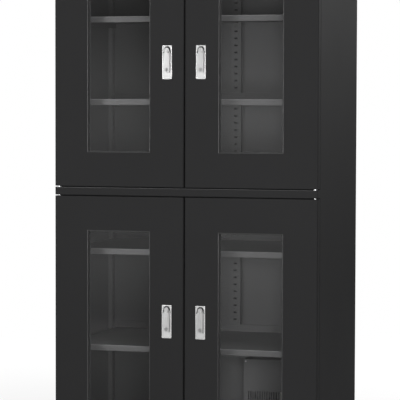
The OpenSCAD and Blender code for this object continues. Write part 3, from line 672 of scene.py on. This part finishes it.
# %% A geometry tree and how it is run
class Growth(Graph):
    KINDS = {float: "NodeSocketFloat", int: "NodeSocketInt", tuple: "NodeSocketVector",
             bpy.types.Material: "NodeSocketMaterial"}

    def __init__(self, name, **sizes):
        super().__init__(bpy.data.node_groups.new(name, "GeometryNodeTree"))
        face = self.tree.interface
        face.new_socket("Geometry", in_out="INPUT", socket_type="NodeSocketGeometry")
        for label, value in sizes.items():
            socket = face.new_socket(label, in_out="INPUT", socket_type=self.KINDS[type(value)])
            socket.default_value = value
        face.new_socket("Geometry", in_out="OUTPUT", socket_type="NodeSocketGeometry")
        entry = self.tree.nodes.new("NodeGroupInput")
        self.given = {socket.name: Wire(self, socket) for socket in entry.outputs if socket.name}

    def finish(self, geometry):
        solid = self.node("GeometryNodeRealizeInstances", {}, {0: geometry})
        coated = self.node("GeometryNodeSetMaterial", {},
                           {"Geometry": solid, "Material": self.given["Finish"]})
        self.node("NodeGroupOutput", {}, {0: coated})

    def run(self, name, seed_mesh, **sizes):
        seed = new_piece(name + "_seed", seed_mesh)
        modifier = seed.modifiers.new("grow", "NODES")
        modifier.node_group = self.tree
        for label, value in sizes.items():
            modifier[self.tree.interface.items_tree[label].identifier] = value
        ready = seed.evaluated_get(bpy.context.evaluated_depsgraph_get())
        plain = bpy.data.meshes.new_from_object(ready)
        plain.name = name
        bpy.data.objects.remove(seed)
        bm = bmesh.new()
        bm.from_mesh(plain)
        bmesh.ops.remove_doubles(bm, verts=bm.verts, dist=WELD)
        bmesh.ops.recalc_face_normals(bm, faces=bm.faces)
        bm.to_mesh(plain)
        bm.free()
        print(name, len(plain.polygons), "faces")
        return new_piece(name, plain)


def line_mesh(name, points, closed=False):
    mesh = bpy.data.meshes.new(name)
    edges = [(i, (i + 1) % len(points)) for i in range(len(points) if closed else 0)]
    mesh.from_pydata(points, edges, [])
    return mesh

# %% Building the seal's tree
CORNER_STEPS = 5
ring = Growth("seal_ring", Width=0.4, Height=0.8, Corner=2 * MM, Place=(0.0, 0.0, 0.0),
              Finish=SEAL)
section = ring.node("GeometryNodeMeshToCurve", {}, {"Mesh": ring.given["Geometry"]})
path = ring.node("GeometryNodeCurvePrimitiveQuadrilateral", {},
                 {"Width": ring.given["Width"], "Height": ring.given["Height"]})
path = ring.node("GeometryNodeFilletCurve", {"mode": "POLY"},
                 {"Curve": path, "Radius": ring.given["Corner"], "Count": CORNER_STEPS})
path = ring.node("GeometryNodeSetCurveNormal", {"mode": "Z_UP"}, {"Curve": path})
strip = ring.node("GeometryNodeCurveToMesh", {}, {"Curve": path, "Profile Curve": section})
strip = ring.node("GeometryNodeTransform", {}, {
    "Geometry": strip, "Rotation": (math.pi / 2, 0, 0), "Translation": ring.given["Place"]})
ring.finish(strip)

# %% Sweeping one seal for each door
SEAL_W = 12 * MM
BELLOWS = ((0, 0), (12, 0), (12, 1), (10.4, 2), (11.4, 3.2), (11, 5.2), (10.4, 5.7), (1.6, 5.7),
           (1, 5.2), (0.6, 3.2), (1.6, 2), (0, 1))
section_points = [(u * MM, v * MM, 0) for u, v in BELLOWS]
for door in DOORS:
    lo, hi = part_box(f"door_{door}_seals")
    liner_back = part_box(f"door_{door}_liner")[1].y
    seal = ring.run(f"door_{door}_magnetic_seal", line_mesh("section", section_points, True),
                    Width=hi.x - lo.x - 2 * SEAL_W, Height=hi.z - lo.z - 2 * SEAL_W,
                    Place=((lo.x + hi.x) / 2, liner_back, (lo.z + hi.z) / 2))
    settle(seal, f"door_{door}", "seal_rubber", f"door_{door}_seals")
print("seals swept", len(DOORS))

# %% [markdown]
# ## The flush locks
# Each lock is a cast plate with a raised rim, an arched finger groove round the spindle's head, a
# swinging lever and a round key cylinder. The rim is polished, and the field inside it is satin,
# with a darker tone that is painted shade in the recess. The groove is deep, and its faces are
# painted near-black as well, a painted shade. The groove is cut a little wider at its crown than in
# the packed solid, with a Boolean modifier that is run at once, because that dark crown is what the
# eye finds first. The lever and the spindle's head share one metal, and a half-round cap on the
# spindle shows where the head turns.

# %% Cutting and dressing the lock plates
RIM_H = 0.9 * MM
FIELD_SLACK = 0.1 * MM
SQUARE_ON = 0.9
GROOVE_TOP, GROOVE_FLOOR = RIM_H + 0.8 * MM, 6.2 * MM
GROOVE_IN = 8.3 * MM
CROWN_OUT = 12.0 * MM
LEG_OUT = 11.6 * MM
LEG_DROP = 10.6 * MM
LEG_EASE = 0.5 * MM
SPLAY = 2.4 * MM
CUT_DEPTH = 4.5 * MM
CUT_START = 1 * MM
ARCH_STEPS = 16
HEAD_RISE = 64 * MM


def prism(bm, outline, y, depth):
    """A flat piece that faces the viewer, from its outline in X and Z."""
    near = [bm.verts.new((x, y, z)) for x, z in outline]
    far = [bm.verts.new((x, y + depth, z)) for x, z in outline]
    bm.faces.new(near)
    bm.faces.new(far[::-1])
    for i in range(len(near)):
        j = (i + 1) % len(near)
        bm.faces.new((near[j], near[i], far[i], far[j]))
    bmesh.ops.recalc_face_normals(bm, faces=bm.faces)


def arch_outline(x, z):
    """An arch over a head at x, z: thick at its crown, with two splayed legs."""
    turns = [math.pi * i / ARCH_STEPS for i in range(ARCH_STEPS + 1)]
    outer = [(x + LEG_OUT * math.cos(t), z + CROWN_OUT * math.sin(t)) for t in turns]
    inner = [(x + GROOVE_IN * math.cos(t), z + GROOVE_IN * math.sin(t)) for t in turns]
    left, right = x - SPLAY, x + SPLAY
    return ([(right + LEG_OUT, z - LEG_DROP)] + outer + [(left - LEG_OUT, z - LEG_DROP),
            (left - GROOVE_IN - LEG_EASE, z - LEG_DROP)] + inner[::-1]
            + [(right + GROOVE_IN + LEG_EASE, z - LEG_DROP)])


def carved(node, outline, y, depth):
    """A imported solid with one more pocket, cut by a Boolean modifier that is run at once."""
    plate = new_piece("carving", mesh_from("carving", joined_solid(node)))
    bm = bmesh.new()
    prism(bm, outline, y, depth)
    cutter = new_piece("cutter", mesh_from("cutter", bm))
    cut = plate.modifiers.new("cut", "BOOLEAN")
    cut.object = cutter
    cut.solver = "EXACT"
    ready = plate.evaluated_get(bpy.context.evaluated_depsgraph_get())
    bm = bmesh.new()
    bm.from_mesh(ready.to_mesh())
    for spare in (plate, cutter):
        bpy.data.objects.remove(spare)
    bmesh.ops.remove_doubles(bm, verts=bm.verts, dist=WELD)
    bmesh.ops.dissolve_limit(bm, angle_limit=FLAT_ANGLE, verts=bm.verts, edges=bm.edges)
    return bm


def head_middle(door):
    """Where the spindle's head turns, above the key cylinder."""
    lo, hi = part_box(f"lock_{door}_key_core")
    return (lo.x + hi.x) / 2, (lo.z + hi.z) / 2 + HEAD_RISE


for door in DOORS:
    rim_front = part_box(f"lock_{door}_plate")[0].y

    # Groove faces get the near-black painted shade, and the field gets its darker metal, partly
    # painted shade.
    def plate_side(middle, direction, fold):
        behind = middle.y - rim_front
        field = abs(behind - RIM_H) < FIELD_SLACK and direction.y < -SQUARE_ON
        return 2 if field else int(GROOVE_TOP < behind < GROOVE_FLOOR)

    cut = carved(f"lock_{door}_plate", arch_outline(*head_middle(door)), rim_front - CUT_START,
                 CUT_DEPTH + CUT_START)
    dressed(f"lock_{door}_plate", 0, FINE_RIM, (PLATE_METAL, GROOVE_SHADE, FIELD_SHADED_METAL),
            plate_side, bm=cut)
print("plates cut", len(DOORS))

# %% Dressing the moving lock pieces
CAP_R = 7.8 * MM
CAP_T = 0.3 * MM
LEVER_RIM = 0.18 * MM
CAP_CORNERS, CAP_TRIM = 25, 0.6
cap_turns = [math.pi * (i + CAP_TRIM) / (CAP_CORNERS - 1 + 2 * CAP_TRIM)
             for i in range(CAP_CORNERS)]
for door in DOORS:
    dressed(f"lock_{door}_lever", 0, LEVER_RIM, (LEVER_METAL,))
    dressed(f"lock_{door}_spindle", 0, SOFT_RIM, (LEVER_METAL,))
    dressed(f"lock_{door}_key_core", 0, FINE_RIM, (KEY_METAL,))
    head_x, head_z = head_middle(door)
    outline = [(head_x + CAP_R * math.cos(t), head_z + CAP_R * math.sin(t)) for t in cap_turns]
    bm = bmesh.new()
    prism(bm, outline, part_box(f"lock_{door}_key_core")[0].y, CAP_T)
    cap = new_piece(f"lock_{door}_cap", mesh_from(f"lock_{door}_cap", bm, LEVER_METAL))
    settle(cap, f"spindle_{door}", "lock_metal")
print("locks dressed", len(DOORS))

# %% [markdown]
# ## Shelves, uprights and clips
# The shelves are trays with a folded front lip. They hang on clips, in the same coat as the
# shelves, in the slots of painted uprights.

# %% Dressing the inside
# Lip folds that face up and to the front get the lighter fold coat, a painted highlight.
def lip_side(middle, direction, fold):
    return int(fold and catches_light(direction))


dressed("shelves", FOLD, RIM, (SHELF_PAINT, SHELF_FOLD_HIGHLIGHT), lip_side)
dressed("shelf_uprights", 0, FINE_RIM, (INNER_PAINT,))
dressed("shelf_clips", 0, FINE_RIM, (SHELF_PAINT,))

# %% [markdown]
# ## The drying unit
# A slotted steel housing hides a fan and a cartridge of drying beads. Behind the exhaust slots of
# the rear wall sits a pleated dust filter, which also keeps daylight out of the cabinet. Its zigzag
# is one folded strip, so it is written as a row of corners and given a thickness.

# %% Dressing the drying unit
CARTRIDGE_IN = 75 * MM
CORE_FOLD = 1 * MM
cartridge_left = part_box("dryer_core")[0].x + CARTRIDGE_IN


def is_cartridge(middle, direction, fold):
    return int(middle.x > cartridge_left)


dressed("dryer_housing", FOLD, FINE_RIM, (INNER_PAINT,))
dressed("dryer_core", CORE_FOLD, RIM, (BLACK_PLASTIC, CARTRIDGE), is_cartridge)
dressed("dryer_fan", 0, FINE_RIM, (BLACK_PLASTIC,))

# %% Folding the dust filter
FILTER_W = 84 * MM
FILTER_H = 108 * MM
PLEATS = 21
PLEAT_DEPTH = 5 * MM
FILTER_UP, FILTER_GAP = 134 * MM, 1.5 * MM
FLEECE_T = 0.8 * MM
FLEECE = rubber("filter_fleece", 0.05)
fan_lo, fan_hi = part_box("dryer_fan")
fan_x = (fan_lo.x + fan_hi.x) / 2
rear_lo, rear_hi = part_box("rear_panel")
filter_z = rear_lo.z + FILTER_UP
filter_y = rear_lo.y - FILTER_GAP
bm = bmesh.new()
rows = []
for i in range(2 * PLEATS + 1):
    x = fan_x - FILTER_W / 2 + FILTER_W * i / (2 * PLEATS)
    y = filter_y - (PLEAT_DEPTH if i % 2 else 0)
    rows.append([bm.verts.new((x, y, filter_z + s * FILTER_H / 2)) for s in (-1, 1)])
for a, b in zip(rows, rows[1:]):
    bm.faces.new((a[0], b[0], b[1], a[1]))
dust_filter = new_piece("dust_filter", mesh_from("dust_filter", bm, FLEECE))
thick = dust_filter.modifiers.new("fleece", "SOLIDIFY")
thick.thickness = FLEECE_T
thick.offset = 0
settle(dust_filter, "root", "dryer_plastic")
print("filter pleats", PLEATS)

# %% [markdown]
# ## The display
# Two small numbers, moisture and temperature, glow behind a smoked lens. Each digit is built from
# the seven bars of a common display, and a bar is a flat hexagon with pointed ends. The set buttons
# carry a raised arrow each.

# %% Dressing the display's carried pieces
BOARD_T, BOARD_RIM = 1.7 * MM, 0.2 * MM
BLOCK_HALF = 76 * MM
board_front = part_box("display_module")[1].y - BOARD_T


def is_block(middle, direction, fold):
    return int(abs(middle.x) < BLOCK_HALF and middle.y < board_front)


dressed("display_window", 0, FINE_RIM, (LENS,))
dressed("display_module", 0, BOARD_RIM, (BOARD, BLACK_PLASTIC), is_block)
for node in ("button_up", "button_down"):
    dressed(node, 0, RIM, (BUTTON,))

# %% Lighting the digits
GLOW = Finish("display_glow").surface(Base_Color=grey(0.02), Emission_Color=(0.35, 0.8, 1.0, 1),
                                      Emission_Strength=2.2, Roughness=0.4)
DIGIT_W, DIGIT_H, DIGIT_T = 13 * MM, 24 * MM, 0.2 * MM
DIGIT_PITCH = 20 * MM
DIGIT_SINK = 0.05 * MM
BAR, BAR_GAP = 1.5 * MM, 0.5 * MM
SEGMENTS = {"a": (0, 1, 0), "b": (1, 0.5, 1), "c": (1, -0.5, 1), "d": (0, -1, 0),
            "e": (-1, -0.5, 1), "f": (-1, 0.5, 1), "g": (0, 0, 0)}
SHAPES = {"2": "abged", "4": "fgbc", "0": "abcdef"}
READINGS = (("24", -52 * MM), ("40", 20 * MM))
lens_lo, lens_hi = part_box("display_window")
lens_middle = (lens_lo + lens_hi) / 2


def bar_outline(x, z, upright):
    length = (DIGIT_H / 2 if upright else DIGIT_W) / 2 - BAR_GAP
    outline = [(-length, 0), (-length + BAR, -BAR), (length - BAR, -BAR), (length, 0),
               (length - BAR, BAR), (-length + BAR, BAR)]
    return [(x + v, z + u) if upright else (x + u, z + v) for u, v in outline]


bm = bmesh.new()
for text, start in READINGS:
    for i, digit in enumerate(text):
        x0 = lens_middle.x + start + i * DIGIT_PITCH
        for key in SHAPES[digit]:
            sx, sz, upright = SEGMENTS[key]
            outline = bar_outline(x0 + sx * DIGIT_W / 2, lens_middle.z + sz * DIGIT_H / 2, upright)
            prism(bm, outline, lens_hi.y - DIGIT_SINK, DIGIT_T)
digits = new_piece("display_digits", mesh_from("display_digits", bm, GLOW))
settle(digits, "root", "circuit_board")

# %% Raising an arrow on each button
ARROW = 2.6 * MM
ARROW_BASE = 0.7 * ARROW
ARROW_PROUD, ARROW_T = 0.2 * MM, 0.3 * MM
for node, up in (("button_up", 1), ("button_down", -1)):
    lo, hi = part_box(node)
    cx, cz = (lo.x + hi.x) / 2, (lo.z + hi.z) / 2
    bm = bmesh.new()
    prism(bm, [(cx - ARROW, cz - up * ARROW_BASE), (cx + ARROW, cz - up * ARROW_BASE),
               (cx, cz + up * ARROW)], lo.y - ARROW_PROUD, ARROW_T)
    arrow = new_piece(node + "_arrow", mesh_from(node + "_arrow", bm, BLACK_PLASTIC))
    settle(arrow, body_of(node), "button_plastic")
print("digits at", [round(v, 4) for v in lens_middle])

# %% [markdown]
# ## Casters, hinge pins and power inlet
# The casters' forks and the hinge pins are zinc plated. A wheel is a grey core in a black tyre,
# told apart by how far a face lies from the axle. The inlet's blades are plated too.

# %% Dressing the casters
TYRE_IN = 21.6 * MM
for caster in CASTERS:
    lo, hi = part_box(f"caster_wheel_{caster}")
    axle = (lo + hi) / 2

    def is_tyre(middle, direction, fold):
        return int(math.hypot(middle.y - axle.y, middle.z - axle.z) > TYRE_IN)

    dressed(f"caster_wheel_{caster}", 0, RIM, (HUB_PLASTIC, TYRE), is_tyre)
    dressed(f"caster_fork_{caster}", 0, RIM, (ZINC,))
dressed("hinge_pins", 0, SOFT_RIM, (ZINC,))
BLADES_HALF_W, BLADES_HALF_H = 9 * MM, 6 * MM
BLADES_FRONT, BLADES_BACK = 2.2 * MM, 5 * MM
inlet_lo, inlet_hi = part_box("power_inlet")
inlet_middle = (inlet_lo + inlet_hi) / 2


def is_blade(middle, direction, fold):
    return int(abs(middle.x - inlet_middle.x) < BLADES_HALF_W
               and abs(middle.z - inlet_middle.z) < BLADES_HALF_H
               and inlet_lo.y + BLADES_FRONT < middle.y < inlet_hi.y - BLADES_BACK)


dressed("power_inlet", 0, FINE_RIM, (BLACK_PLASTIC, ZINC), is_blade)
print("casters dressed", len(CASTERS))

# %% [markdown]
# ## Screws
# The rear sheet is held by rows of flush screws, and the dryer's housing by four. One geometry tree
# makes them all: it cuts a cross into a low cone, puts a copy on each corner of a small seed mesh,
# turns each by a random angle with a fixed seed, and stands it up along the given direction.

# %% Building the screw's tree
HEAD_SIDES, HEAD_TAPER = 20, 0.8
CROSS_LONG, CROSS_THIN = 1.1, 0.26
screws = Growth("screws", Radius=4 * MM, Proud=0.4 * MM, Facing=(0.0, 1.0, 0.0), Seed=7,
                Finish=ZINC)
radius, proud = screws.given["Radius"], screws.given["Proud"]
head = screws.node("GeometryNodeMeshCone", {}, {
    "Vertices": HEAD_SIDES, "Radius Top": radius * HEAD_TAPER, "Radius Bottom": radius,
    "Depth": proud * 2})
bars = []
for long_side, thin_side in ((CROSS_LONG, CROSS_THIN), (CROSS_THIN, CROSS_LONG)):
    size = screws.node("ShaderNodeCombineXYZ", {}, {
        0: radius * long_side, 1: radius * thin_side, 2: proud * 2})
    bar = screws.node("GeometryNodeMeshCube", {}, {"Size": size})
    bars.append(screws.node("GeometryNodeTransform", {}, {
        "Geometry": bar, "Translation": screws.node("ShaderNodeCombineXYZ", {}, {2: proud * 2})}))
head = screws.node("GeometryNodeMeshBoolean", {"operation": "DIFFERENCE", "solver": "EXACT"},
                   {"Mesh 1": head, "Mesh 2": bars})
spin = screws.node("FunctionNodeRandomValue", {"data_type": "FLOAT"},
                   {2: 0.0, 3: math.pi, 8: screws.given["Seed"]}, output=1)
spin = screws.node("FunctionNodeEulerToRotation", {},
                   {0: screws.node("ShaderNodeCombineXYZ", {}, {2: spin})})
stand = screws.node("FunctionNodeAlignRotationToVector", {"axis": "Z"},
                    {"Vector": screws.given["Facing"]})
stand = screws.node("FunctionNodeRotateRotation", {"rotation_space": "LOCAL"},
                    {"Rotation": stand, "Rotate By": spin})
screws.finish(screws.node("GeometryNodeInstanceOnPoints", {}, {
    "Points": screws.given["Geometry"], "Instance": head, "Rotation": stand}))

# %% Placing the screws
EDGE = 7.5 * MM
ROWS, BAYS = 9, 4
SCREW_PROUD = 0.3 * MM
rear_places = []
for i in range(ROWS):
    z = rear_lo.z + EDGE + (rear_hi.z - rear_lo.z - 2 * EDGE) * i / (ROWS - 1)
    rear_places += [(x, rear_hi.y, z) for x in (rear_lo.x + EDGE, rear_hi.x - EDGE)]
for i in range(1, BAYS):
    x = rear_lo.x + (rear_hi.x - rear_lo.x) * i / BAYS
    rear_places += [(x, rear_hi.y, z) for z in (rear_lo.z + EDGE, rear_hi.z - EDGE)]
housing_lo, housing_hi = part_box("dryer_housing")
housing_places = [(x, housing_lo.y, z) for x in (housing_lo.x + EDGE, housing_hi.x - EDGE)
                  for z in (housing_lo.z + EDGE, housing_hi.z - EDGE)]
for name, places, facing, size in (("rear_screws", rear_places, (0.0, 1.0, 0.0), 3.6 * MM),
                                   ("dryer_screws", housing_places, (0.0, -1.0, 0.0), 3.0 * MM)):
    row = screws.run(name, line_mesh(name, places), Radius=size, Proud=SCREW_PROUD,
                     Facing=facing, Finish=ZINC)
    settle(row, "root", "clip_steel")

# %% [markdown]
# ## The studio
# The camera sees a white floor and a white world. The light that falls on the cabinet comes from a
# dimmer world, and reflections see a third level, or dark paint would look grey. The floor keeps a
# share of plain paint near the cabinet, so the soft shadow stays on it. The photograph's panes
# mirror something light at eye height, so in reflections the horizon in front of the cabinet is
# brighter, on the far floor and low in the sky.

# %% Making the floor and the world
FLOOR_PAINT = 0.55
FLOOR_REACH, FLOOR_SIDES = 40, 64
NEAR_SHARE, NEAR_WHITE = 0.6, 1.4
NEAR_FROM, NEAR_TO = 1.2, 4.0
AMBIENT, MIRRORED, HORIZON = 0.15, 0.4, 1.5
HAZE_NEAR, HAZE_FAR, HAZE_TOP = 1.5, 10.0, 0.05
HAZE_FROM, HAZE_TO = 0.2, 0.8


def rays(graph, *names):
    path = graph.tree.nodes.new("ShaderNodeLightPath")
    return sum(Wire(graph, path.outputs[f"Is {name} Ray"]) for name in names)


floor_finish = Finish("studio_floor")
spot = floor_finish.place()
away = floor_finish.node("ShaderNodeVectorMath", {"operation": "LENGTH"}, {0: spot}, output=1)
far = floor_finish.fade(away, NEAR_FROM, NEAR_TO)
haze = floor_finish.fade(floor_finish.part(spot, 1), -HAZE_NEAR, -HAZE_FAR)
mirrored = rays(floor_finish, "Glossy")
plain = floor_finish.node("ShaderNodeBsdfDiffuse", {}, {"Color": grey(FLOOR_PAINT)})
white = floor_finish.node("ShaderNodeEmission", {}, {
    "Color": grey(1.0),
    "Strength": NEAR_WHITE - far * (NEAR_WHITE - 1) + mirrored * (HORIZON - 1)})
seen = rays(floor_finish, "Camera", "Transmission") * (far * (1 - NEAR_SHARE) + NEAR_SHARE)
floor_finish.close(floor_finish.node("ShaderNodeMixShader", {},
                                     {0: seen + mirrored * haze, 1: plain, 2: white}))
bm = bmesh.new()
bmesh.ops.create_circle(bm, cap_ends=True, segments=FLOOR_SIDES, radius=FLOOR_REACH)
floor = new_piece("studio_floor", mesh_from("studio_floor", bm, floor_finish.material))

world = bpy.data.worlds.new("studio")
bpy.context.scene.world = world
world.use_nodes = True
sky = Graph(world.node_tree)
aim = sky.node("ShaderNodeTexCoord")
low = sky.fade(sky.part(aim, 2), HAZE_TOP, 0.0)
ahead = sky.fade(sky.part(aim, 1), -HAZE_FROM, -HAZE_TO)
sky.node("ShaderNodeOutputWorld", {}, {"Surface": sky.node("ShaderNodeBackground", {}, {
    "Color": grey(1.0), "Strength": rays(sky, "Camera", "Transmission") * (1 - AMBIENT)
    + rays(sky, "Glossy") * (low * ahead * (HORIZON - MIRRORED) + (MIRRORED - AMBIENT))
    + AMBIENT})})

# %% Hanging the lamps
def softbox(name, place, aim, width, height, power):
    lamp = bpy.data.lights.new(name, "AREA")
    lamp.shape = "RECTANGLE"
    lamp.size = width
    lamp.size_y = height
    lamp.energy = power
    lit = bpy.data.objects.new(name, lamp)
    lit.location = place
    lit.rotation_euler = (Vector(aim) - Vector(place)).to_track_quat("-Z", "Y").to_euler()
    bpy.context.scene.collection.objects.link(lit)


softbox("key", (-2.8, -4.5, 1.05), (0, 0, 1.0), 1.4, 1.2, 115)
softbox("fill", (1.7, -4.5, 1.0), (0, 0, 1.0), 1.4, 0.9, 80)
softbox("top", (2.0, -2.2, 3.9), (0.2, 0, 1.7), 2.0, 1.4, 95)
softbox("back", (2.6, 3.6, 2.6), (0, 0.3, 1.1), 1.6, 1.6, 60)

# %% Closing the scene
bpy.context.scene.view_settings.view_transform = "Standard"
